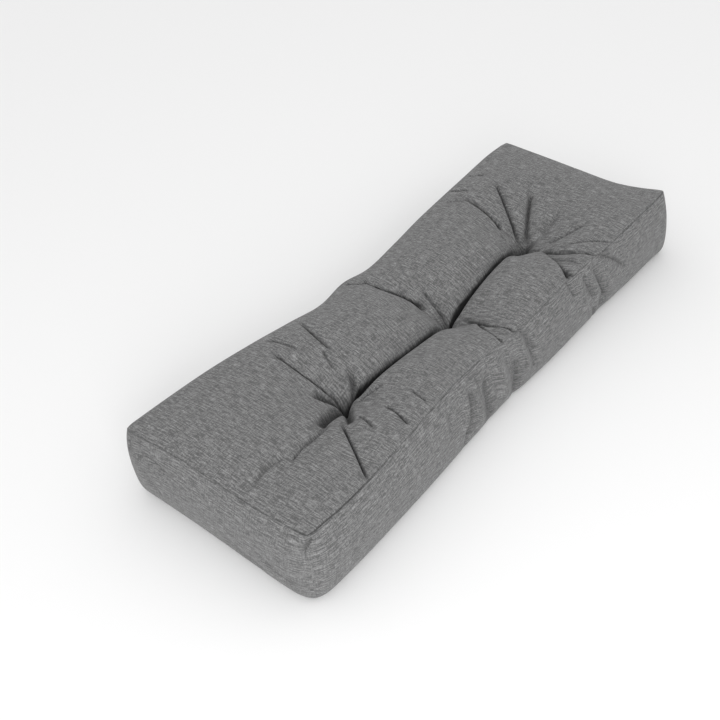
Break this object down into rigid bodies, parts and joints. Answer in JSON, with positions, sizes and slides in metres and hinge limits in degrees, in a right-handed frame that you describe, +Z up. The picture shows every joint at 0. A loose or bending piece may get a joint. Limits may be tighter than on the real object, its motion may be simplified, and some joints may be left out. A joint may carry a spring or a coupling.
{
  "type": "pallet back cushion",
  "caption": "Long filled back cushion for pallet seating, grey woven cloth, boxed sides, waisted in the middle where blind tufts pull the top down along its length.",
  "frame": {"origin": "on the floor under the middle of the cushion's footprint", "axes": "+X along the length, +Y across the width, +Z up out of the tufted face; the cushion lies on its back"},
  "size_m": [1.2006, 0.4442, 0.1567],
  "materials": {
    "woven_grey": "matt melange weave"
  },
  "bodies": {
    "root": {"cushion": "woven_grey"}
  },
  "joints": []
}
